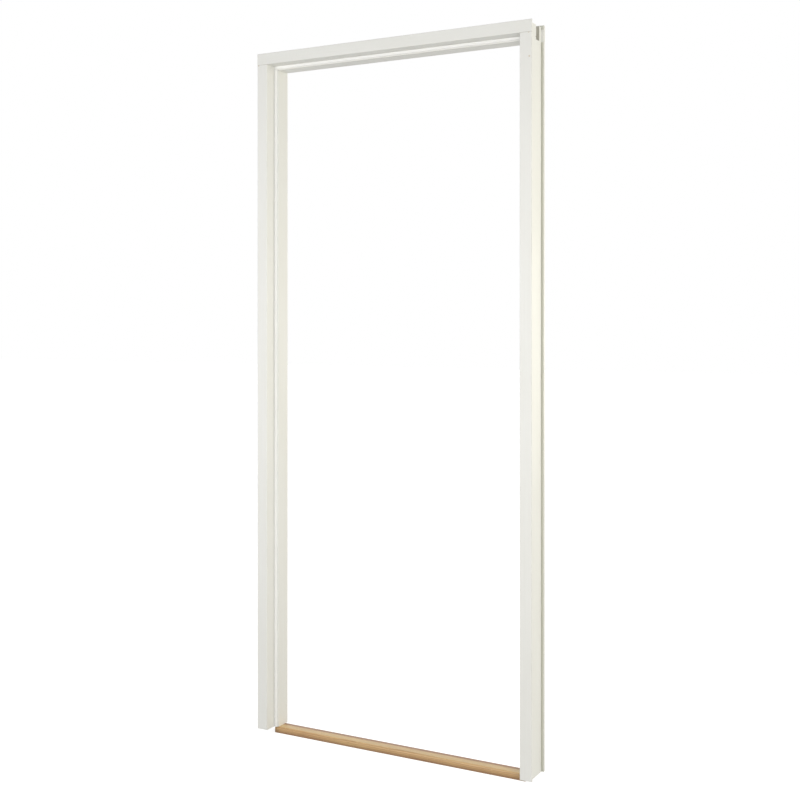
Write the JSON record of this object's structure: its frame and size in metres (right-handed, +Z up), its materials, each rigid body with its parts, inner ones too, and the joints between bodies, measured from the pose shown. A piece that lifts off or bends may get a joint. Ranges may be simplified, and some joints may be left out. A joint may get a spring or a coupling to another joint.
{
  "type": "wooden door frame",
  "caption": "Rebated white door frame for one leaf, with a head over two jambs, an oak sill and a white seal on the stops.",
  "frame": {"origin": "On the left jamb's relieved outer side, in the middle of the flat between its lips and halfway up.", "axes": "+X from the left jamb to the right jamb, +Y from the front with the rebate to the back, +Z up."},
  "size_m": [0.89, 0.105, 2.109],
  "materials": {
    "painted_wood": "white satin paint on pine",
    "oak": "clear lacquered oak",
    "seal": "white matt rubber"
  },
  "bodies": {
    "root": {"left_jamb": "painted_wood", "right_jamb": "painted_wood", "head": "painted_wood", "sill": "oak", "seal_left": "seal", "seal_right": "seal", "seal_head": "seal"}
  },
  "joints": []
}
